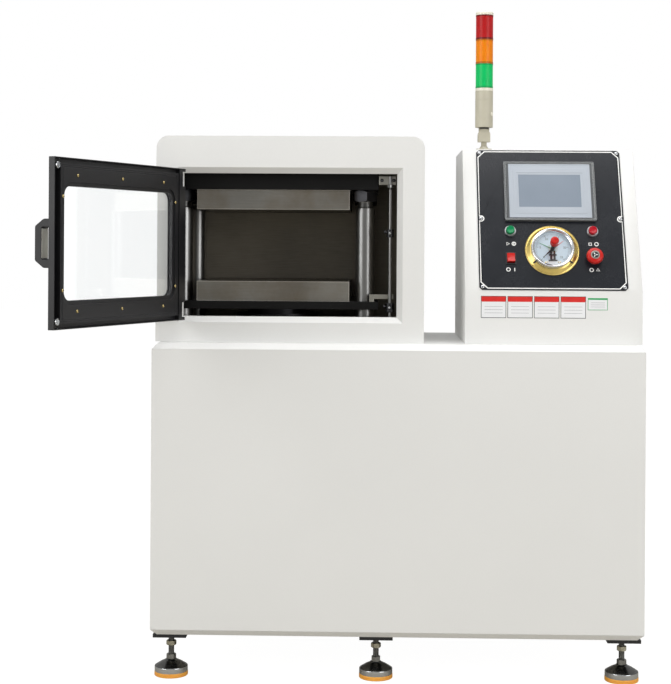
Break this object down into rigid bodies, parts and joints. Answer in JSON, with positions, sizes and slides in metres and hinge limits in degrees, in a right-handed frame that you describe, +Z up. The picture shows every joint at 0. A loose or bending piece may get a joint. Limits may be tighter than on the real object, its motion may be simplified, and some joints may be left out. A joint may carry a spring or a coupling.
{
  "type": "rubber mold vulcanizer",
  "caption": "Floor-standing heated press that cures rubber molds between platens in a glazed chamber, with a sloping control console and a signal lamp.",
  "frame": {"origin": "on the floor, in the middle of the area the machine covers with its chamber door open as stored", "axes": "+X to the right facing the machine, +Y to the back, +Z up"},
  "size_m": [1.3454, 0.992, 1.6126],
  "materials": {
    "cabinet_paint": "fine textured off-white powder coat",
    "black_paint": "satin black paint",
    "zinc_steel": "zinc plated",
    "orange_rubber": "moulded",
    "chromed_column": "ground and hard chromed",
    "dark_steel": "blackened",
    "platen_steel": "ground, heat tinted",
    "door_glass": "clear toughened",
    "black_plastic": "moulded",
    "panel_plate": "satin dark grey",
    "hmi_grey": "moulded grey",
    "gauge_brass": "lacquered",
    "red_plastic": "moulded",
    "green_plastic": "moulded",
    "lamp_grey": "moulded",
    "lens_green": "translucent",
    "lens_orange": "translucent",
    "lens_red": "translucent",
    "tank_paint": "grey enamel"
  },
  "bodies": {
    "machine": {"base_pan": "cabinet_paint", "table_top": "cabinet_paint", "front_cover": "cabinet_paint", "left_side_panel": "cabinet_paint", "right_side_panel": "cabinet_paint", "rear_panel": "cabinet_paint", "power_inlet": "black_plastic", "foot_plates": "black_paint", "foot_locknuts": "zinc_steel", "foot_pads": "zinc_steel", "foot_rubbers": "orange_rubber", "press_housing": "cabinet_paint", "press_rear_cover": "cabinet_paint", "chamber_liner": "black_paint", "top_beam": "black_paint", "bottom_beam": "black_paint", "columns": "chromed_column", "column_nuts": "dark_steel", "upper_platen": "platen_steel", "cylinder": "dark_steel", "limit_rod": "chromed_column", "hinge_pins": "chromed_column", "console_shell": "cabinet_paint", "panel_plate": "panel_plate", "panel_screws": "chromed_column", "hmi_housing": "hmi_grey", "hmi_screen": "black_plastic", "gauge_flange": "gauge_brass", "gauge_case": "hmi_grey", "switch_collars": "hmi_grey", "lamp_foot": "lamp_grey", "oil_tank": "tank_paint", "pump_motor": "tank_paint"},
    "door": {"door_frame": "black_paint", "door_glass": "door_glass", "glass_clamp": "black_paint", "door_screws": "chromed_column", "door_handle": "black_plastic"},
    "bed": {"moving_bed": "black_paint", "lower_platen": "platen_steel", "ram": "chromed_column", "trip_arm": "zinc_steel"},
    "upper_stop": {"upper_stop": "dark_steel"},
    "lower_stop": {"lower_stop": "dark_steel"},
    "start_button": {"start_button": "green_plastic"},
    "stop_button": {"stop_button": "red_plastic"},
    "estop_button": {"estop_button": "red_plastic"},
    "rocker": {"rocker": "red_plastic"},
    "gauge_pointer": {"gauge_pointer": "black_plastic"},
    "gauge_knob": {"gauge_knob": "red_plastic"},
    "lamp": {"lamp_body": "lamp_grey", "lamp_green": "lens_green", "lamp_orange": "lens_orange", "lamp_red": "lens_red"},
    "foot_stem_front_left": {"foot_stem_front_left": "zinc_steel"},
    "foot_stem_front_middle": {"foot_stem_front_middle": "zinc_steel"},
    "foot_stem_front_right": {"foot_stem_front_right": "zinc_steel"},
    "foot_stem_rear_left": {"foot_stem_rear_left": "zinc_steel"},
    "foot_stem_rear_middle": {"foot_stem_rear_middle": "zinc_steel"},
    "foot_stem_rear_right": {"foot_stem_rear_right": "zinc_steel"}
  },
  "joints": [
    {"name": "door_hinge", "type": "hinge", "parent": "machine", "child": "door", "pos_m": [-0.42542, -0.01104, 0.848], "axis": [0, 0, 1], "range_deg": [-51.5, 113.5]},
    {"name": "bed_slide", "type": "slide", "parent": "machine", "child": "bed", "axis": [0, 0, 1], "range_m": [0, 0.172]},
    {"name": "upper_stop_slide", "type": "slide", "parent": "machine", "child": "upper_stop", "axis": [0, 0, 1], "range_m": [-0.06, 0.1]},
    {"name": "lower_stop_slide", "type": "slide", "parent": "machine", "child": "lower_stop", "axis": [0, 0, 1], "range_m": [-0.02, 0.08]},
    {"name": "start_press", "type": "slide", "parent": "machine", "child": "start_button", "axis": [0, 0.9135, -0.4067], "range_m": [0, 0.0035], "stiffness_N_per_m": 400, "springref_m": -0.002},
    {"name": "stop_press", "type": "slide", "parent": "machine", "child": "stop_button", "axis": [0, 0.9135, -0.4067], "range_m": [0, 0.0035], "stiffness_N_per_m": 400, "springref_m": -0.002},
    {"name": "estop_press", "type": "slide", "parent": "machine", "child": "estop_button", "axis": [0, 0.9135, -0.4067], "range_m": [0, 0.004], "stiffness_N_per_m": 700, "springref_m": -0.003},
    {"name": "rocker_tilt", "type": "hinge", "parent": "machine", "child": "rocker", "pos_m": [0.36368, 0.03254, 0.99865], "axis": [1, 0, 0], "range_deg": [0, 16]},
    {"name": "pointer_turn", "type": "hinge", "parent": "machine", "child": "gauge_pointer", "pos_m": [0.46268, 0.03011, 1.02272], "axis": [0, 0.9135, -0.4067], "range_deg": [0, 270], "stiffness_Nm_per_rad": 0.0006, "springref_deg": -17.19},
    {"name": "knob_turn", "type": "hinge", "parent": "machine", "child": "gauge_knob", "pos_m": [0.46268, 0.02098, 1.02678], "axis": [0, 0.9135, -0.4067], "range_deg": [0, 270]},
    {"name": "lamp_fold", "type": "hinge", "parent": "machine", "child": "lamp", "pos_m": [0.30768, 0.17852, 1.30515], "axis": [0, 1, 0], "range_deg": [0, 90]},
    {"name": "foot_front_left_turn", "type": "hinge", "parent": "machine", "child": "foot_stem_front_left", "pos_m": [-0.44332, 0.00296, 0.038], "axis": [0, 0, 1], "continuous": true},
    {"name": "foot_front_middle_turn", "type": "hinge", "parent": "machine", "child": "foot_stem_front_middle", "pos_m": [0.04568, 0.00296, 0.038], "axis": [0, 0, 1], "continuous": true},
    {"name": "foot_front_right_turn", "type": "hinge", "parent": "machine", "child": "foot_stem_front_right", "pos_m": [0.62868, 0.00296, 0.038], "axis": [0, 0, 1], "continuous": true},
    {"name": "foot_rear_left_turn", "type": "hinge", "parent": "machine", "child": "foot_stem_rear_left", "pos_m": [-0.44332, 0.42296, 0.038], "axis": [0, 0, 1], "continuous": true},
    {"name": "foot_rear_middle_turn", "type": "hinge", "parent": "machine", "child": "foot_stem_rear_middle", "pos_m": [0.04568, 0.42296, 0.038], "axis": [0, 0, 1], "continuous": true},
    {"name": "foot_rear_right_turn", "type": "hinge", "parent": "machine", "child": "foot_stem_rear_right", "pos_m": [0.62868, 0.42296, 0.038], "axis": [0, 0, 1], "continuous": true}
  ]
}
